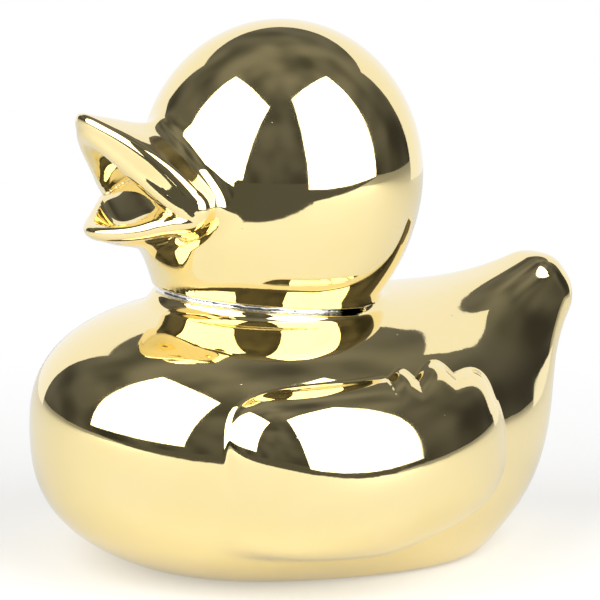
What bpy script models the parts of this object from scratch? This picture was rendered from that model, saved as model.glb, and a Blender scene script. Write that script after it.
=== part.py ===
"""Rubber duck, moulded as one hollow shell with a gold mirror skin.

The duck looks along -Y, its left side is +X, and it stands on z = 0 with the middle of its
flat base at the origin. Sizes are in millimetres and become metres when a mesh is made.
"""

import math

import bmesh
import bpy
import numpy as np
from mathutils import Matrix, Vector

MM = 0.001

# Body: a squarish egg lying down, fuller below its girth than above
BODY_HALF_LENGTH = 46.2
BODY_HALF_WIDTH = 37.4
GIRTH_HEIGHT = 21.5
BODY_RISE = 25.1
BODY_DEPTH = 24.4
BACK_SQUARENESS = 2.35
BELLY_SQUARENESS = 2.4
BODY_TAPER = 0.155
BACK_SLOPE = 0.07
GIRTH_BLEND = 4.0
BODY_CENTRE_BACK = 6.0

# Tail: a squarish cone from inside the rump up to the tip, which stands behind the body
TAIL_OVERHANG = 3.8
TAIL_TIP_HEIGHT = 42.8
TAIL_RUN = 37.3
TAIL_CLIMB = 28.6
TAIL_ROOT_RADIUS = 21.1
TAIL_TIP_RADIUS = 6.9
TAIL_SQUARENESS = 3.0
TAIL_BLEND = 10.9

# Head and neck, places as (y, z): the neck tapers down to a rim that the body's collar meets
HEAD_CENTRE = (-1.6, 67.5)
HEAD_HALF_WIDTH = 24.7
HEAD_HALF_HEIGHT = 26.8
HEAD_SQUARENESS = 2.0
HEAD_RAY_DROP = 5.5
NECK_RIM_CENTRE = (-6.0, 46.3)
NECK_RIM_RADIUS = 18.2
NECK_FLARE = 18.0
NECK_TILT = 6.0
NECK_TOP = 15.0
NECK_FADE = 8.0
NECK_BOTTOM = 8.0
NECK_BOTTOM_ROUNDING = 2.0
NECK_BLEND = 6.0
COLLAR_BLEND = 5.0
COLLAR_ROOT_DEPTH = 16.0
NECK_GROOVE_RADIUS = 0.55

# Wall and the vent in the base
WALL = 2.5
HOLLOW_ROUNDING = 3.0
VENT_DIAMETER = 6.0
VENT_BACK = 13.0
FLOOR_CUTTER_WIDTH = 200.0
FLOOR_CUTTER_DEPTH = 20.0

# Wings: a domed pad on each flank, its outline seen from the side as (y, z)
WING_CENTRE = (-0.5, 21.4)
WING_HALF_LENGTH = 28.2
WING_HALF_HEIGHT = 15.3
WING_SQUARENESS = 3.4
WING_SQUARER_TOP = 1.7
WING_SQUARER_FRONT = 0.8
WING_RELIEF = 4.2
WING_RELIEF_RISE = -1.5
WING_RELIEF_BACK = -0.9
WING_EDGE_SINK = 0.9
WING_ROOT_SINK = 1.4
WING_DOME = 2.1
FEATHER_LOBES = 3
FEATHER_DEPTH = 0.06
FEATHER_START = 16.0
FEATHER_END = 84.0

# Bill, wide open: where the mouth's corners lie from the head's centre, the rise of each half
# from there, the length of each along that rise, and the plan both share
MOUTH_AHEAD = 27.9
MOUTH_DROP = 3.5
MOUTH_HALF_WIDTH = 14.6
MOUTH_POINT = 0.65
MOUTH_NOSE = 2.0
UPPER_RISE = 49.0
UPPER_LENGTH = 18.6
LOWER_RISE = -16.0
LOWER_LENGTH = 10.2
UPPER_LIP_RADIUS = 1.8
LOWER_LIP_RADIUS = 1.3
BILL_BLEND = 6.0
BILL_TOP_OVER_HEAD = 10.5
BILL_TOP_RISE = 0.22
BILL_TOP_FALL = 0.43
BILL_FALL_GROWTH = 0.0014
BILL_FALL_START = 6.6
BILL_RIDGE_WIDTH = 3.0
BILL_WALL_DRAFT = 0.1
BILL_WALL_INSET = 0.2
BILL_TOP_ROUNDING = 2.6
UPPER_BEHIND = 5.0
LOWER_BEHIND = 7.0
LOWER_STRAIGHT = 2.0
BILL_ROOT_ROUNDING = 6.0
UNDERSIDE_ROUNDING = 2.0
CHIN_BLEND = 9.0
LOWER_SCOOP_DEPTH = 6.8
PALATE_DEPTH = 3.3
PALATE_EDGE = 8.0
TONGUE_BED_DEPTH = 2.0
TONGUE_BED_EDGE = 5.0
TONGUE_BED_START = 1.2
TONGUE_BED_FADE = 1.1
TONGUE_RISE = 4.2
TONGUE_HALF_WIDTH = 13.0
MOUTH_EDGE_ROUNDING = 1.0
MOUTH_RAY_AHEAD = 8.5
MOUTH_RAY_RISE = 4.0
MOUTH_LIMIT_AHEAD = 16.5
MOUTH_LIMIT_RISE = 5.0
MOUTH_LIMIT_RADIUS = 25.0

# Mesh fineness, and how far and how finely the rays that find a surface are cut
RAY_REACH = 90.0
RAY_HALVINGS = 40
NORMAL_STEP = 0.05
BODY_SEGMENTS = 48
BODY_RINGS = 34
HEAD_SEGMENTS = 56
HEAD_RINGS = 36
MOUTH_SEGMENTS = 40
MOUTH_RINGS = 22
HOLLOW_SEGMENTS = 22
HOLLOW_RINGS = 14
WING_SEGMENTS = 44
WING_RINGS = 12
LIP_POINTS = 21
GROOVE_STEPS = 48
VENT_SEGMENTS = 24

GOLD = (1.0, 0.80, 0.42, 1.0)


def smooth_union(first, second, blend):
    """Join two distance fields with a fillet of about the blend's width."""
    near = np.maximum(blend - np.abs(first - second), 0.0) / blend
    return np.minimum(first, second) - near * near * blend / 4


def smooth_overlap(first, second, blend):
    """Keep what two distance fields share, with a rounded edge."""
    return -smooth_union(-first, -second, blend)


def superball(x, y, z, half_width, half_length, half_height, squareness):
    """Distance to an egg whose upright sections are squarer than an ellipse."""
    level = np.sqrt((x / half_width) ** 2 + (y / half_length) ** 2)
    upright = np.abs(z) / half_height
    size = (level ** squareness + upright ** squareness) ** (1 / squareness) + 1e-9
    level_share = (level / size) ** (squareness - 1)
    upright_share = (upright / size) ** (squareness - 1)
    slope_x = level_share * x / half_width ** 2 / np.maximum(level, 1e-9)
    slope_y = level_share * y / half_length ** 2 / np.maximum(level, 1e-9)
    slope = np.sqrt(slope_x ** 2 + slope_y ** 2 + (upright_share / half_height) ** 2)
    return (size - 1) / np.maximum(slope, 1e-6)


def round_cone(x, y, z, root, tip, root_radius, tip_radius, squareness):
    """Distance to a cone with rounded ends and a squarish section, its axis in the middle plane."""
    axis = np.array([tip[0] - root[0], tip[1] - root[1]])
    length = np.hypot(*axis)
    axis = axis / length
    along = (y - root[0]) * axis[0] + (z - root[1]) * axis[1]
    off = (z - root[1]) * axis[0] - (y - root[0]) * axis[1]
    across = (np.abs(x) ** squareness + np.abs(off) ** squareness + 1e-9) ** (1 / squareness)
    sine = (root_radius - tip_radius) / length
    cosine = math.sqrt(1 - sine ** 2)
    place = np.clip(along - across * sine / cosine, 0, length)
    radius = root_radius + (tip_radius - root_radius) * place / length
    return np.sqrt((along - place) ** 2 + across ** 2) - radius


def neck_cone(x, y, z, top, bottom):
    """Distance to the tapering neck between two heights over its tilted rim."""
    tilt = math.radians(-NECK_TILT)
    back = y - NECK_RIM_CENTRE[0]
    up = z - NECK_RIM_CENTRE[1]
    level = back * math.cos(tilt) + up * math.sin(tilt)
    height = up * math.cos(tilt) - back * math.sin(tilt)
    flare = math.radians(NECK_FLARE)
    reach = NECK_RIM_RADIUS + np.maximum(height, 0) * math.tan(flare)
    side = (np.sqrt(x ** 2 + level ** 2) - reach) * math.cos(flare)
    below_top = smooth_overlap(side, height - top, NECK_FADE)
    return smooth_overlap(below_top, -bottom - height, NECK_BOTTOM_ROUNDING)


def tail_ends():
    """Return the tail's root and tip as (y, z)."""
    tip = (BODY_HALF_LENGTH + TAIL_OVERHANG, TAIL_TIP_HEIGHT)
    return (tip[0] - TAIL_RUN, tip[1] - TAIL_CLIMB), tip


def body_form(x, y, z):
    """Distance to the body with its tail and the collar below the neck."""
    upper_share = 1 / (1 + np.exp(-(z - GIRTH_HEIGHT) / GIRTH_BLEND))
    narrowed = x / (1 - BODY_TAPER * y / BODY_HALF_LENGTH)
    over_girth = z - GIRTH_HEIGHT
    upper = superball(narrowed, y, over_girth + BACK_SLOPE * y,
                      BODY_HALF_WIDTH, BODY_HALF_LENGTH, BODY_RISE, BACK_SQUARENESS)
    lower = superball(narrowed, y, over_girth,
                      BODY_HALF_WIDTH, BODY_HALF_LENGTH, BODY_DEPTH, BELLY_SQUARENESS)
    egg = lower * (1 - upper_share) + upper * upper_share
    tail = round_cone(x, y, z, *tail_ends(), TAIL_ROOT_RADIUS, TAIL_TIP_RADIUS, TAIL_SQUARENESS)
    collar = neck_cone(x, y, z, 0.0, COLLAR_ROOT_DEPTH)
    return smooth_union(smooth_union(egg, tail, TAIL_BLEND), collar, COLLAR_BLEND)


def head_form(x, y, z):
    """Distance to the head with its neck, down past the rim."""
    ball = superball(x, y - HEAD_CENTRE[0], z - HEAD_CENTRE[1],
                     HEAD_HALF_WIDTH, HEAD_HALF_WIDTH, HEAD_HALF_HEIGHT, HEAD_SQUARENESS)
    neck = neck_cone(x, y, z, NECK_TOP, NECK_BOTTOM)
    return smooth_union(ball, neck, NECK_BLEND)


def reach_of(form, centre, directions, inset=0.0):
    """Find how far each direction runs from the centre to the form's surface.

    Args:
        form: A distance field of x, y and z.
        centre: The point that the rays leave.
        directions: Unit vectors, one to a row.
        inset: How far inside the surface the rays stop.
    Returns:
        The length of each ray.
    """
    near = np.zeros(len(directions))
    far = np.full(len(directions), RAY_REACH)
    for _ in range(RAY_HALVINGS):
        middle = (near + far) / 2
        points = centre + directions * middle[:, None]
        inside = form(points[:, 0], points[:, 1], points[:, 2]) < -inset
        near = np.where(inside, middle, near)
        far = np.where(inside, far, middle)
    return near


def outward(form, points):
    """Return the form's outward unit normal at each point."""
    slope = np.empty_like(points)
    for axis in range(3):
        shift = np.zeros(3)
        shift[axis] = NORMAL_STEP
        slope[:, axis] = form(*(points + shift).T) - form(*(points - shift).T)
    return slope / np.linalg.norm(slope, axis=1)[:, None]


def ball_directions(segments, rings, pole):
    """Make a sphere mesh and return it with its vertices' unit directions."""
    mesh = bmesh.new()
    bmesh.ops.create_uvsphere(mesh, u_segments=segments, v_segments=rings, radius=1.0)
    turn = Vector((0, 0, 1)).rotation_difference(Vector(pole)).to_matrix()
    bmesh.ops.rotate(mesh, cent=(0, 0, 0), matrix=turn, verts=mesh.verts)
    directions = np.array([vertex.co.normalized()[:] for vertex in mesh.verts])
    return mesh, directions


def object_from(mesh, name, collection):
    """Turn a bmesh whose sizes are in millimetres into an object in metres."""
    bmesh.ops.scale(mesh, vec=(MM, MM, MM), verts=mesh.verts)
    bmesh.ops.recalc_face_normals(mesh, faces=mesh.faces)
    data = bpy.data.meshes.new(name)
    mesh.to_mesh(data)
    mesh.free()
    made = bpy.data.objects.new(name, data)
    collection.objects.link(made)
    return made


def place_vertices(mesh, points):
    """Move a bmesh's vertices to the given points."""
    for vertex, point in zip(mesh.verts, points):
        vertex.co = Vector(point)


def blown(name, collection, form, centre, pole, fineness, inset=0.0):
    """Blow a ball outwards until it meets a form, or stops short of it by the inset."""
    mesh, directions = ball_directions(*fineness, pole)
    reach = reach_of(form, np.array(centre), directions, inset)
    place_vertices(mesh, np.array(centre) + directions * reach[:, None])
    return object_from(mesh, name, collection)


def wing_outline(angle):
    """Return the wing outline's reach at an angle in the side view, with its feather lobes."""
    power = WING_SQUARENESS + WING_SQUARER_TOP * np.sin(angle) - WING_SQUARER_FRONT * np.cos(angle)
    across = np.abs(np.cos(angle) / WING_HALF_LENGTH) ** power
    upright = np.abs(np.sin(angle) / WING_HALF_HEIGHT) ** power
    reach = (across + upright) ** (-1 / power)
    start = math.radians(FEATHER_START)
    end = math.radians(FEATHER_END)
    share = np.clip((angle - start) / (end - start), 0, 1)
    lobes = np.abs(np.sin(share * math.pi * FEATHER_LOBES))
    fade = np.sin(share * math.pi) ** 0.5
    return reach * (1 + FEATHER_DEPTH * (lobes - 0.5) * fade * 2)


def wing_pad(name, collection, side):
    """Make one wing: a domed pad that follows the flank and sinks into the wall."""
    mesh, directions = ball_directions(WING_SEGMENTS, WING_RINGS, (1, 0, 0))
    rho = np.sqrt(directions[:, 1] ** 2 + directions[:, 2] ** 2)
    angle = np.arctan2(directions[:, 2], directions[:, 1])
    reach = rho * wing_outline(angle)
    flank_y = WING_CENTRE[0] + reach * np.cos(angle)
    flank_z = WING_CENTRE[1] + reach * np.sin(angle)
    start = np.stack([np.zeros_like(rho), flank_y, flank_z], axis=1)
    sideways = np.tile([1.0, 0.0, 0.0], (len(rho), 1))
    flank = start + sideways * reach_of(body_form, start, sideways)[:, None]
    relief = (WING_RELIEF + WING_EDGE_SINK
              + WING_RELIEF_RISE * reach * np.sin(angle) / WING_HALF_HEIGHT
              + WING_RELIEF_BACK * reach * np.cos(angle) / WING_HALF_LENGTH)
    dome = relief * np.sqrt(np.maximum(1 - rho ** WING_DOME, 0)) - WING_EDGE_SINK
    bed = -WING_EDGE_SINK - (WING_ROOT_SINK - WING_EDGE_SINK) * (1 - rho ** 2)
    height = np.where(directions[:, 0] > 0.001, dome, bed)
    points = flank + outward(body_form, flank) * height[:, None]
    points[:, 0] *= side
    place_vertices(mesh, points)
    return object_from(mesh, name, collection)


def mouth_corner():
    """Return where the mouth's corners lie as (y, z)."""
    return HEAD_CENTRE[0] - MOUTH_AHEAD, HEAD_CENTRE[1] - MOUTH_DROP


def bill_place(y, z, rise):
    """Return how far points lie ahead of the mouth's corners and above a half's plane."""
    turn = math.radians(rise)
    corner_y, corner_z = mouth_corner()
    back = y - corner_y
    up = z - corner_z
    ahead = up * math.sin(turn) - back * math.cos(turn)
    above = up * math.cos(turn) + back * math.sin(turn)
    return ahead, above


def bill_plan(x, ahead, length):
    """Distance to the outline of one half of the bill, seen square to its plane."""
    power = 0.5 / MOUTH_POINT
    wide = (x ** 2 + MOUTH_NOSE ** 2) / MOUTH_HALF_WIDTH ** 2
    level = wide ** power + ahead / length - 1
    slope_x = 2 * power * x / MOUTH_HALF_WIDTH ** 2 * wide ** (power - 1)
    return level / np.sqrt(slope_x ** 2 + 1 / length ** 2)


def upper_bill(x, y, z):
    """Distance to the upper half of the bill before its mouth is cut."""
    ahead, above = bill_place(y, z, UPPER_RISE)
    level_ahead = mouth_corner()[0] - y
    top_height = HEAD_CENTRE[1] + BILL_TOP_OVER_HEAD + BILL_TOP_RISE * level_ahead
    fall = BILL_TOP_FALL + BILL_FALL_GROWTH * np.maximum(BILL_FALL_START - level_ahead, 0) ** 2
    aside = np.sqrt(x ** 2 + BILL_RIDGE_WIDTH ** 2) - BILL_RIDGE_WIDTH
    top = (z - top_height + fall * aside) / np.sqrt(1 + BILL_TOP_RISE ** 2 + fall ** 2)
    wall = bill_plan(x, np.maximum(ahead, 0), UPPER_LENGTH)
    wall = wall + BILL_WALL_INSET + BILL_WALL_DRAFT * above
    whole = smooth_overlap(top, wall, BILL_TOP_ROUNDING)
    whole = smooth_overlap(whole, -above, UNDERSIDE_ROUNDING)
    return smooth_overlap(whole, -ahead - UPPER_BEHIND, BILL_ROOT_ROUNDING)


def lower_bill(x, y, z):
    """Distance to the lower half of the bill before its mouth is cut."""
    ahead, above = bill_place(y, z, LOWER_RISE)
    plan = bill_plan(x, np.maximum(ahead, -LOWER_STRAIGHT), LOWER_LENGTH)
    deep = plan + np.abs(above) ** 2 / LOWER_SCOOP_DEPTH
    return smooth_overlap(deep, -ahead - LOWER_BEHIND, BILL_ROOT_ROUNDING)


def billed_head_form(x, y, z):
    """Distance to the head and neck with the uncut bill."""
    whole = smooth_union(head_form(x, y, z), lower_bill(x, y, z), CHIN_BLEND)
    return smooth_union(whole, upper_bill(x, y, z), BILL_BLEND)


def mouth_form(x, y, z):
    """Distance to the gap between the dished palate and the tongue bed."""
    ahead, above = bill_place(y, z, UPPER_RISE)
    plan = bill_plan(x, ahead, UPPER_LENGTH)
    inside = np.clip(-(plan + UPPER_LIP_RADIUS) / PALATE_EDGE, 0, 1)
    roof = above - PALATE_DEPTH * (1 - (1 - inside) ** 2)
    ahead, above = bill_place(y, z, LOWER_RISE)
    plan = bill_plan(x, ahead, LOWER_LENGTH)
    inside = np.clip(-(plan + LOWER_LIP_RADIUS) / TONGUE_BED_EDGE, 0, 1)
    front = 1 / (1 + np.exp(-(ahead - TONGUE_BED_START) / TONGUE_BED_FADE))
    dish = TONGUE_BED_DEPTH * (1 - (1 - inside) ** 2) * front
    tongue = TONGUE_RISE * (1 - front) * np.maximum(1 - (x / TONGUE_HALF_WIDTH) ** 2, 0)
    floor = tongue - dish - above
    corner_y, corner_z = mouth_corner()
    limit_y = y - corner_y + MOUTH_LIMIT_AHEAD
    limit_z = z - corner_z - MOUTH_LIMIT_RISE
    limit = np.sqrt(x ** 2 + limit_y ** 2 + limit_z ** 2) - MOUTH_LIMIT_RADIUS
    return np.maximum(smooth_overlap(roof, floor, MOUTH_EDGE_ROUNDING), limit)


def lip(name, collection, rise, length, radius, away):
    """Make one rounded lip: a rod bent round the tip from one mouth corner to the other."""
    turn = math.radians(rise)
    forward = Vector((0, -math.cos(turn), math.sin(turn)))
    normal = Vector((0, math.sin(turn), math.cos(turn))) * away
    angles = np.radians(np.linspace(0, 180, LIP_POINTS))
    rays = np.stack([np.cos(angles), np.sin(angles), np.zeros(LIP_POINTS)], axis=1)
    reach = reach_of(lambda x, ahead, _: bill_plan(x, ahead, length), np.zeros(3), rays, radius)
    spine = bpy.data.curves.new(name + "_spine", "CURVE")
    spine.dimensions = "3D"
    spine.bevel_depth = radius * MM
    spine.bevel_resolution = 3
    spine.use_fill_caps = True
    run = spine.splines.new("POLY")
    run.points.add(LIP_POINTS - 1)
    middle = Vector((0, *mouth_corner())) + normal * radius
    for point, ray in zip(run.points, rays * reach[:, None]):
        place = middle + Vector((ray[0], 0, 0)) + forward * ray[1]
        point.co = (*(place * MM), 1.0)
    bent = bpy.data.objects.new(name + "_spine", spine)
    collection.objects.link(bent)
    bpy.context.view_layer.update()
    evaluated = bent.evaluated_get(bpy.context.evaluated_depsgraph_get())
    data = bpy.data.meshes.new_from_object(evaluated)
    mesh = bmesh.new()
    mesh.from_mesh(data)
    bmesh.ops.remove_doubles(mesh, verts=mesh.verts, dist=1e-6)
    bmesh.ops.scale(mesh, vec=(1 / MM, 1 / MM, 1 / MM), verts=mesh.verts)
    bpy.data.objects.remove(bent)
    return object_from(mesh, name, collection)


def neck_groove(name, collection):
    """Make the ring that cuts the narrow groove round the neck's rim."""
    profile = bmesh.new()
    bmesh.ops.create_circle(profile, segments=8, radius=NECK_GROOVE_RADIUS)
    bmesh.ops.rotate(profile, cent=(0, 0, 0), matrix=Matrix.Rotation(math.pi / 2, 3, "X"),
                     verts=profile.verts)
    bmesh.ops.translate(profile, vec=(NECK_RIM_RADIUS, 0, 0), verts=profile.verts)
    bmesh.ops.spin(profile, geom=profile.verts[:] + profile.edges[:], angle=2 * math.pi,
                   steps=GROOVE_STEPS, axis=(0, 0, 1), cent=(0, 0, 0))
    bmesh.ops.remove_doubles(profile, verts=profile.verts, dist=0.001)
    tilt = Matrix.Rotation(math.radians(-NECK_TILT), 3, "X")
    bmesh.ops.rotate(profile, cent=(0, 0, 0), matrix=tilt, verts=profile.verts)
    bmesh.ops.translate(profile, vec=(0, *NECK_RIM_CENTRE), verts=profile.verts)
    return object_from(profile, name, collection)


def floor_cutter(name, collection):
    """Make the block under z = 0 that cuts the flat base."""
    mesh = bmesh.new()
    bmesh.ops.create_cube(mesh, size=1.0)
    size = (FLOOR_CUTTER_WIDTH, FLOOR_CUTTER_WIDTH, FLOOR_CUTTER_DEPTH)
    bmesh.ops.scale(mesh, vec=size, verts=mesh.verts)
    bmesh.ops.translate(mesh, vec=(0, 0, -FLOOR_CUTTER_DEPTH / 2), verts=mesh.verts)
    return object_from(mesh, name, collection)


def vent_cutter(name, collection):
    """Make the pin that opens the vent through the base's wall."""
    mesh = bmesh.new()
    radius = VENT_DIAMETER / 2
    bmesh.ops.create_cone(mesh, cap_ends=True, segments=VENT_SEGMENTS, radius1=radius,
                          radius2=radius, depth=4 * WALL)
    bmesh.ops.translate(mesh, vec=(0, VENT_BACK, 0), verts=mesh.verts)
    return object_from(mesh, name, collection)


def combine(target, other, operation):
    """Add a Boolean with another object to the target."""
    step = target.modifiers.new(other.name, "BOOLEAN")
    step.operation = operation
    step.solver = "MANIFOLD"
    step.object = other
    other.hide_render = True
    other.display_type = "WIRE"


def gold_plating():
    """Return the mirror finish of the plated skin."""
    finish = bpy.data.materials.new("gold_plating")
    finish.use_nodes = True
    shader = finish.node_tree.nodes["Principled BSDF"]
    shader.inputs["Base Color"].default_value = GOLD
    shader.inputs["Metallic"].default_value = 1.0
    shader.inputs["Roughness"].default_value = 0.06
    finish.diffuse_color = GOLD
    return finish


def hollow_form(x, y, z):
    """Distance to the room inside the body, flat above the base's wall."""
    return smooth_overlap(body_form(x, y, z), -z, HOLLOW_ROUNDING)


def main():
    """Build the duck."""
    for leftover in list(bpy.data.objects):
        bpy.data.objects.remove(leftover)
    duck = bpy.data.collections.new("rubber_duck")
    tools = bpy.data.collections.new("cutters")
    bpy.context.scene.collection.children.link(duck)
    bpy.context.scene.collection.children.link(tools)

    body_centre = (0, BODY_CENTRE_BACK, GIRTH_HEIGHT)
    head_centre = (0, HEAD_CENTRE[0], HEAD_CENTRE[1] - HEAD_RAY_DROP)
    corner_y, corner_z = mouth_corner()
    mouth_centre = (0, corner_y - MOUTH_RAY_AHEAD, corner_z + MOUTH_RAY_RISE)
    tail_tip = tail_ends()[1]
    tail_way = Vector((0, tail_tip[0] - body_centre[1], tail_tip[1] - body_centre[2])).normalized()
    bill_way = (Vector(mouth_centre) - Vector(head_centre)).normalized()

    shell = blown("duck_shell", duck, body_form, body_centre, tail_way,
                  (BODY_SEGMENTS, BODY_RINGS))
    shell.data.materials.append(gold_plating())
    head = blown("head", tools, billed_head_form, head_centre, bill_way,
                 (HEAD_SEGMENTS, HEAD_RINGS))
    combine(shell, head, "UNION")
    for side, label in ((1, "left"), (-1, "right")):
        combine(shell, wing_pad(label + "_wing", tools, side), "UNION")
    mouth = blown("mouth", tools, mouth_form, mouth_centre, (0, -1, 0),
                  (MOUTH_SEGMENTS, MOUTH_RINGS))
    combine(shell, mouth, "DIFFERENCE")
    upper_lip = lip("upper_lip", tools, UPPER_RISE, UPPER_LENGTH, UPPER_LIP_RADIUS, 1)
    combine(shell, upper_lip, "UNION")
    lower_lip = lip("lower_lip", tools, LOWER_RISE, LOWER_LENGTH, LOWER_LIP_RADIUS, -1)
    combine(shell, lower_lip, "UNION")
    combine(shell, neck_groove("neck_groove", tools), "DIFFERENCE")
    hollow = blown("body_hollow", tools, hollow_form, body_centre, tail_way,
                   (HOLLOW_SEGMENTS, HOLLOW_RINGS), WALL)
    head_hollow = blown("head_hollow", tools, head_form, head_centre, (0, 0, 1),
                        (HOLLOW_SEGMENTS, HOLLOW_RINGS), WALL)
    combine(hollow, head_hollow, "UNION")
    combine(shell, hollow, "DIFFERENCE")
    combine(shell, floor_cutter("floor", tools), "DIFFERENCE")
    combine(shell, vent_cutter("vent", tools), "DIFFERENCE")


main()
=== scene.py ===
"""Looks of the rubber duck: a finely shaped mirror-gold skin in a plain pale studio.

The duck looks along -Y, its left side is +X, and it stands on z = 0. The skin is worked out in
millimetres as distance fields, one class to each sub-assembly, and meshed once.
"""

import logging
import math
from dataclasses import dataclass, field, replace
from enum import Enum

import bpy
import numpy as np
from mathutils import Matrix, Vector


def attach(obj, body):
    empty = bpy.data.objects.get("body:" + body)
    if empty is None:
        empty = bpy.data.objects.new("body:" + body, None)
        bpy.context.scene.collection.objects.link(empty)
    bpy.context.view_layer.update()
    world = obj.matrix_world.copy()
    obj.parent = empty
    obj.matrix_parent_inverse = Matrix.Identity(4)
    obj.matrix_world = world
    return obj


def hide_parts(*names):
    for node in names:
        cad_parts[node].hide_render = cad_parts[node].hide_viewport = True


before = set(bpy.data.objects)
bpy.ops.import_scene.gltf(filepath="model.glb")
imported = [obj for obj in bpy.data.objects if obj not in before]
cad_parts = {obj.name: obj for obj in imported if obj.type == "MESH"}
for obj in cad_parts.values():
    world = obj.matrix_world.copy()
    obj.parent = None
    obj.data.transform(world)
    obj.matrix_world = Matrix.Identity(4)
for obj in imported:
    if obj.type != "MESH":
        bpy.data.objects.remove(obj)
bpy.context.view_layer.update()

logging.basicConfig(level=logging.INFO, format="%(message)s")
LOG = logging.getLogger("duck")

MM = 0.001

# The least sizes that a field's sums and slopes are divided by, and a reach past the whole duck.
TINY = 1e-9
LEAST_SLOPE = 1e-6
FAR = 99.0

Points = tuple[np.ndarray, np.ndarray, np.ndarray]
Place = tuple[float, float]


def smooth_union(first: np.ndarray, second: np.ndarray, blend: float | np.ndarray) -> np.ndarray:
    """Join two distance fields with a fillet.

    Args:
        first: One field.
        second: The other field.
        blend: The fillet's width, one value or one to a point.
    Returns:
        The joined field.
    """
    near = np.maximum(blend - np.abs(first - second), 0.0) / blend
    return np.minimum(first, second) - near * near * blend / 4


def smooth_overlap(first: np.ndarray, second: np.ndarray, blend: float | np.ndarray) -> np.ndarray:
    """Keep what two distance fields share, with a rounded edge.

    Args:
        first: One field.
        second: The other field.
        blend: The rounding's width, one value or one to a point.
    Returns:
        The shared field.
    """
    return -smooth_union(-first, -second, blend)


def superball(p: Points, half: tuple[float, float, float], squareness: float = 2.0) -> np.ndarray:
    """Measure the distance to an egg whose upright sections may be squarer than an ellipse.

    Args:
        p: Points from the egg's centre.
        half: Half sizes along the three axes.
        squareness: 2 for an ellipsoid, more for a squarer upright section.
    Returns:
        The distance of each point, less than zero inside.
    """
    level = np.sqrt((p[0] / half[0]) ** 2 + (p[1] / half[1]) ** 2)
    upright = np.abs(p[2]) / half[2]
    size = (level ** squareness + upright ** squareness) ** (1 / squareness) + TINY
    level_share = (level / size) ** (squareness - 1)
    upright_share = (upright / size) ** (squareness - 1)
    slope_x = level_share * p[0] / half[0] ** 2 / np.maximum(level, TINY)
    slope_y = level_share * p[1] / half[1] ** 2 / np.maximum(level, TINY)
    slope = np.sqrt(slope_x ** 2 + slope_y ** 2 + (upright_share / half[2]) ** 2)
    return (size - 1) / np.maximum(slope, LEAST_SLOPE)


@dataclass(frozen=True)
class RoundCone:
    """A cone with rounded ends and a squarish section, whose axis lies in the middle plane."""

    root: Place
    tip: Place
    root_radius: float
    tip_radius: float
    squareness: float = 2.0

    def distance(self, p: Points) -> np.ndarray:
        """Measure the distance to the cone.

        Args:
            p: Points in the duck's frame.
        Returns:
            The distance of each point.
        """
        run = np.array([self.tip[0] - self.root[0], self.tip[1] - self.root[1]])
        length = float(np.hypot(*run))
        run = run / length
        along = (p[1] - self.root[0]) * run[0] + (p[2] - self.root[1]) * run[1]
        off = (p[2] - self.root[1]) * run[0] - (p[1] - self.root[0]) * run[1]
        power = self.squareness
        across = (np.abs(p[0]) ** power + np.abs(off) ** power + TINY) ** (1 / power)
        sine = (self.root_radius - self.tip_radius) / length
        place = np.clip(along - across * sine / math.sqrt(1 - sine ** 2), 0, length)
        radius = self.root_radius + (self.tip_radius - self.root_radius) * place / length
        return np.sqrt((along - place) ** 2 + across ** 2) - radius


@dataclass(frozen=True)
class Neck:
    """The neck: a cone that narrows down to a tilted rim, with a groove round the rim."""

    rim_centre: Place = (-6.0, 46.3)
    rim_radius: float = 18.2
    flare: float = 18.0
    tilt: float = 6.0
    groove_half_width: float = 0.45
    groove_depth: float = 0.6
    groove_reach: float = 1.2
    groove_corner: float = 0.3
    collar_root: float = 16.0
    fade: float = 14.0
    end_rounding: float = 2.0

    def local(self, p: Points) -> tuple[np.ndarray, np.ndarray]:
        """Return each point's distance from the neck's axis and its height over the rim.

        Args:
            p: Points in the duck's frame.
        Returns:
            The distances and the heights.
        """
        tilt = math.radians(-self.tilt)
        back = p[1] - self.rim_centre[0]
        up = p[2] - self.rim_centre[1]
        level = back * math.cos(tilt) + up * math.sin(tilt)
        height = up * math.cos(tilt) - back * math.sin(tilt)
        return np.sqrt(p[0] ** 2 + level ** 2), height

    def cone(self, p: Points, top: float, bottom: float) -> np.ndarray:
        """Measure the distance to the cone between two heights over the rim.

        Args:
            p: Points in the duck's frame.
            top: Height at which the cone fades into the head.
            bottom: Depth below the rim at which it ends.
        Returns:
            The distance of each point.
        """
        across, height = self.local(p)
        flare = math.radians(self.flare)
        reach = self.rim_radius + np.maximum(height, 0) * math.tan(flare)
        side = (across - reach) * math.cos(flare)
        faded = smooth_overlap(side, height - top, self.fade)
        return smooth_overlap(faded, -bottom - height, self.end_rounding)

    def groove(self, p: Points) -> np.ndarray:
        """Measure the distance to the ring that is taken away at the rim.

        Args:
            p: Points in the duck's frame.
        Returns:
            The distance of each point, less than zero inside.
        """
        across, height = self.local(p)
        wide = np.abs(height) - self.groove_half_width
        ring = np.abs(across - self.rim_radius - self.groove_reach / 2)
        deep = ring - self.groove_depth - self.groove_reach / 2
        return smooth_overlap(wide, deep, self.groove_corner)


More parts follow.
